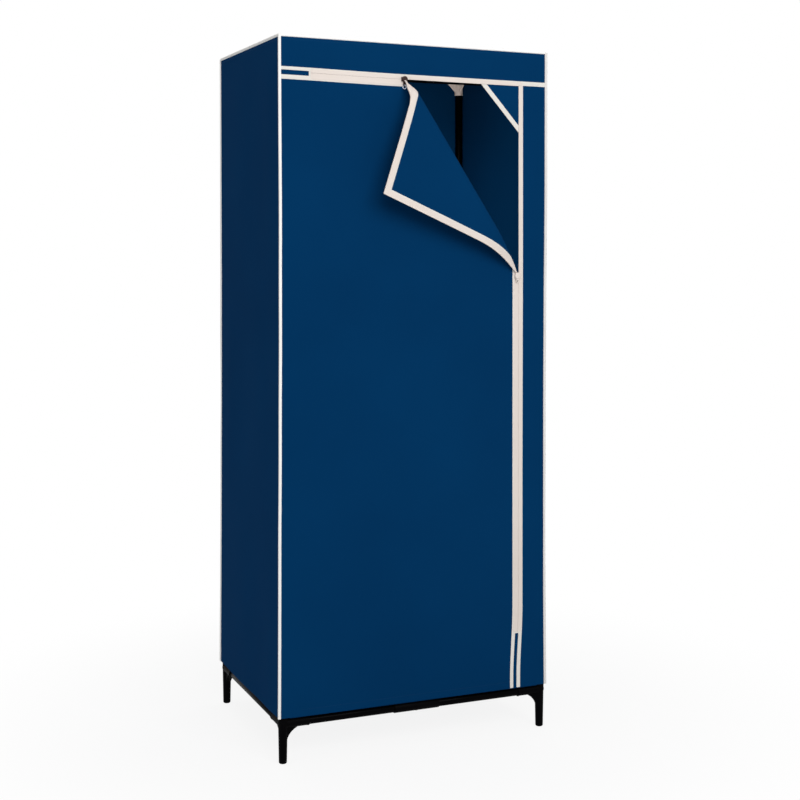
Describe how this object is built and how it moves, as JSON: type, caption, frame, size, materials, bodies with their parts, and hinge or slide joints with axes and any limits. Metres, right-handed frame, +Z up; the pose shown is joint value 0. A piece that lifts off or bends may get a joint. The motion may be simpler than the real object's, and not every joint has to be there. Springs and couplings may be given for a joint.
{
  "type": "portable fabric wardrobe",
  "caption": "Free-standing wardrobe with a tube frame and a zipped cloth cover, its door corner folded out.",
  "frame": {"origin": "on the floor, under the centre of the whole box, the folded corner included", "axes": "+X to the right seen from the front, +Y from the front into the wardrobe, +Z up"},
  "size_m": [0.667, 0.555, 1.6],
  "materials": {
    "navy_cloth": "matt non-woven cloth",
    "white_binding": "matt woven binding",
    "beige_tape": "matt woven zip tape",
    "black_tube": "gloss powder coat",
    "black_plastic": "moulded, satin",
    "grey_plastic": "moulded, slightly see-through",
    "slider_metal": "brown gunmetal",
    "cream_metal": "satin paint to match the tape",
    "bright_wire": "bright wire"
  },
  "bodies": {
    "frame": {"foot_connector_front_left": "black_plastic", "foot_connector_front_right": "black_plastic", "foot_connector_rear_left": "black_plastic", "foot_connector_rear_right": "black_plastic", "upright_lower_front_left": "black_tube", "upright_upper_front_left": "black_tube", "upright_lower_front_right": "black_tube", "upright_upper_front_right": "black_tube", "upright_lower_rear_left": "black_tube", "upright_upper_rear_left": "black_tube", "upright_lower_rear_right": "black_tube", "upright_upper_rear_right": "black_tube", "top_connector_front_left": "grey_plastic", "top_connector_front_right": "grey_plastic", "top_connector_rear_left": "grey_plastic", "top_connector_rear_right": "grey_plastic", "base_front_rail_left": "black_tube", "base_front_rail_right": "black_tube", "base_front_rail_sleeve": "black_plastic", "top_front_rail": "black_tube", "base_rear_rail_left": "black_tube", "base_rear_rail_right": "black_tube", "base_rear_rail_sleeve": "black_plastic", "top_rear_rail": "black_tube", "base_side_rail_left": "black_tube", "top_side_rail_left": "black_tube", "hanging_rail_saddle_left": "grey_plastic", "base_side_rail_right": "black_tube", "top_side_rail_right": "black_tube", "hanging_rail_saddle_right": "grey_plastic", "hanging_rail": "black_tube", "base_panel": "navy_cloth", "cover_left_side": "navy_cloth", "cover_right_side": "navy_cloth", "cover_back": "navy_cloth", "cover_top": "navy_cloth", "header_band": "navy_cloth", "right_stile": "navy_cloth", "corner_gusset": "navy_cloth", "piping_front_left": "white_binding", "piping_front_right": "white_binding", "piping_rear_left": "white_binding", "piping_rear_right": "white_binding", "piping_top_loop": "white_binding", "header_zip_tape": "beige_tape", "stile_zip_tape": "beige_tape"},
    "door": {"door_panel": "navy_cloth", "door_top_zip_tape": "beige_tape", "door_side_zip_tape": "beige_tape"},
    "fold": {"corner_fold": "navy_cloth"},
    "corner": {"door_corner_flap": "navy_cloth", "flap_zip_tape": "beige_tape"},
    "top_zip_slider": {"top_slider": "slider_metal"},
    "top_zip_pull": {"top_pull": "slider_metal"},
    "top_zip_ring": {"top_ring": "bright_wire"},
    "side_zip_slider": {"side_slider": "cream_metal"},
    "side_zip_pull": {"side_pull": "cream_metal"}
  },
  "joints": [
    {"name": "door_swing", "type": "hinge", "parent": "frame", "child": "door", "pos_m": [-0.3262, -0.204, 0.8], "axis": [0, 0, 1], "range_deg": [-150, 0]},
    {"name": "corner_fold_lower", "type": "hinge", "parent": "door", "child": "fold", "pos_m": [0.25185, -0.1995, 1.07435], "axis": [-0.5463, 0, 0.8376], "range_deg": [0, 84]},
    {"name": "corner_fold_upper", "type": "hinge", "parent": "fold", "child": "corner", "pos_m": [0.25491, -0.23431, 1.07635], "axis": [-0.5463, 0, 0.8376], "range_deg": [0, 84]},
    {"name": "top_slider_travel", "type": "slide", "parent": "door", "child": "top_zip_slider", "axis": [1, 0, 0], "range_m": [-0.219, 0.274]},
    {"name": "top_pull_swing", "type": "hinge", "parent": "top_zip_slider", "child": "top_zip_pull", "pos_m": [-0.03515, -0.2052, 1.5145], "axis": [0, 1, 0], "range_deg": [-90, 90]},
    {"name": "top_ring_swing", "type": "hinge", "parent": "top_zip_pull", "child": "top_zip_ring", "pos_m": [-0.03515, -0.2052, 1.5015], "axis": [0, 1, 0], "range_deg": [-60, 60]},
    {"name": "side_slider_travel", "type": "slide", "parent": "door", "child": "side_zip_slider", "axis": [0, 0, 1], "range_m": [-0.827, 0.439]},
    {"name": "side_pull_swing", "type": "hinge", "parent": "side_zip_slider", "child": "side_zip_pull", "pos_m": [0.252, -0.2052, 1.06735], "axis": [0, 1, 0], "range_deg": [-90, 90]}
  ],
  "couplings": [
    {"joint": "corner_fold_upper", "follows": "corner_fold_lower", "ratio": 1}
  ]
}
